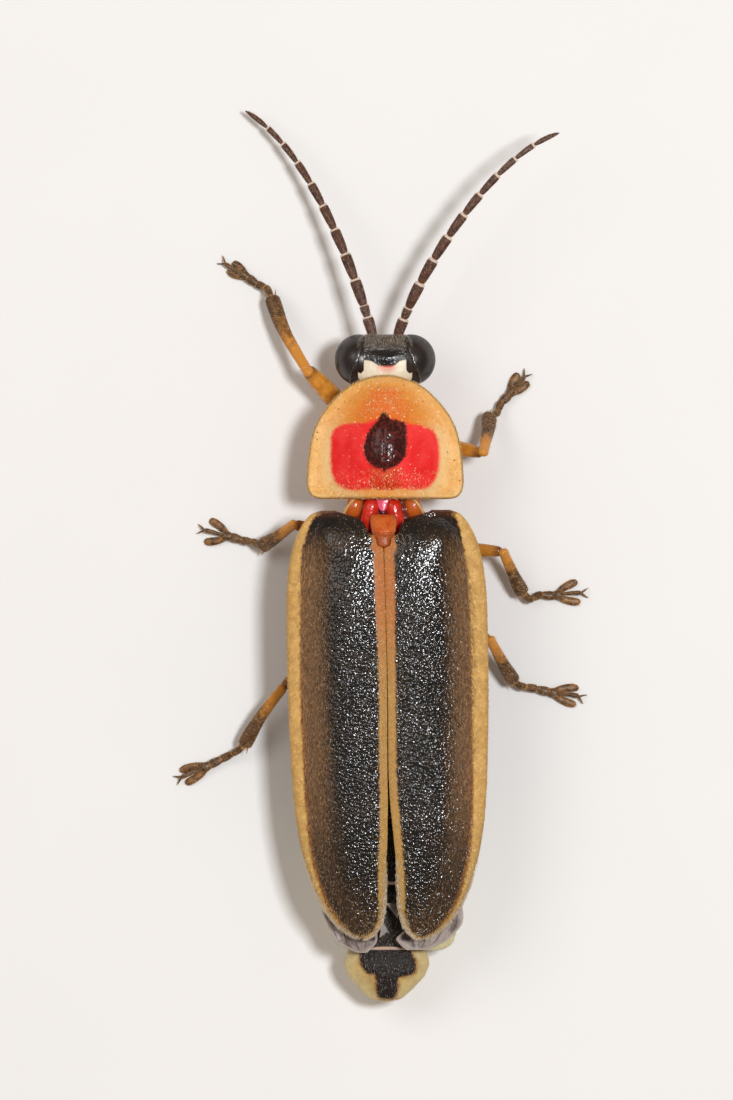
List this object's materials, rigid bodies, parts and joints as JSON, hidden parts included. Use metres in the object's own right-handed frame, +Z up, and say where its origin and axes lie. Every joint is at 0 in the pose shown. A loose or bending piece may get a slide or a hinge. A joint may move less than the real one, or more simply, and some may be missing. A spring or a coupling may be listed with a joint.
{
  "type": "firefly",
  "caption": "Adult male firefly at life size, standing with antennae and legs spread, its black wing cases edged in tan and slightly parted over the tail.",
  "frame": {"origin": "on the floor, under the middle of the box that holds the whole insect, to within 0.1 mm", "axes": "+Z up from the floor, +Y from the head towards the tail, +X to the insect's left"},
  "size_m": [0.0088, 0.0189, 0.003],
  "materials": {
    "cuticle_black": "hard, granular black shell with tan edges",
    "cuticle_amber_clear": "half-clear amber shell with red patches and a black spot",
    "eye_cornea": "glossy black facets",
    "cuticle_pale": "smooth pale shell, dark on the brow",
    "cuticle_amber": "glossy amber-brown shell",
    "cuticle_brown": "finely haired dark brown shell",
    "cuticle_red": "soft red skin between plates",
    "cuticle_dark": "dull dark brown plates",
    "lantern_cream": "waxy cream plates that hold the light organ",
    "wing_membrane": "smoky grey folded membrane"
  },
  "bodies": {
    "root": {"head": "cuticle_pale", "pronotum": "cuticle_amber_clear", "prothorax": "cuticle_amber", "mesonotum": "cuticle_red", "scutellum": "cuticle_amber", "pterothorax": "cuticle_red", "abdomen_front": "cuticle_dark", "abdomen_middle": "cuticle_dark", "lantern_front": "lantern_cream", "lantern_rear": "lantern_cream", "pygidium": "lantern_cream", "eye_left": "eye_cornea", "mandible_left": "cuticle_amber", "palp_left": "cuticle_brown", "elytron_left": "cuticle_black", "hindwing_left": "wing_membrane", "antenna_left_scape": "cuticle_brown", "antenna_left_pedicel": "cuticle_brown", "antenna_left_base": "cuticle_brown", "antenna_left_middle": "cuticle_brown", "antenna_left_tip": "cuticle_brown", "eye_right": "eye_cornea", "mandible_right": "cuticle_amber", "palp_right": "cuticle_brown", "elytron_right": "cuticle_black", "hindwing_right": "wing_membrane", "antenna_right_scape": "cuticle_brown", "antenna_right_pedicel": "cuticle_brown", "antenna_right_base": "cuticle_brown", "antenna_right_middle": "cuticle_brown", "antenna_right_tip": "cuticle_brown", "leg_front_left_coxa": "cuticle_amber", "leg_front_left_femur": "cuticle_amber", "leg_front_left_tibia": "cuticle_brown", "leg_front_left_tarsus": "cuticle_brown", "leg_front_right_coxa": "cuticle_amber", "leg_front_right_femur": "cuticle_amber", "leg_front_right_tibia": "cuticle_brown", "leg_front_right_tarsus": "cuticle_brown", "leg_middle_left_coxa": "cuticle_amber", "leg_middle_left_femur": "cuticle_amber", "leg_middle_left_tibia": "cuticle_brown", "leg_middle_left_tarsus": "cuticle_brown", "leg_middle_right_coxa": "cuticle_amber", "leg_middle_right_femur": "cuticle_amber", "leg_middle_right_tibia": "cuticle_brown", "leg_middle_right_tarsus": "cuticle_brown", "leg_hind_left_coxa": "cuticle_amber", "leg_hind_left_femur": "cuticle_amber", "leg_hind_left_tibia": "cuticle_brown", "leg_hind_left_tarsus": "cuticle_brown", "leg_hind_right_coxa": "cuticle_amber", "leg_hind_right_femur": "cuticle_amber", "leg_hind_right_tibia": "cuticle_brown", "leg_hind_right_tarsus": "cuticle_brown"}
  },
  "joints": []
}
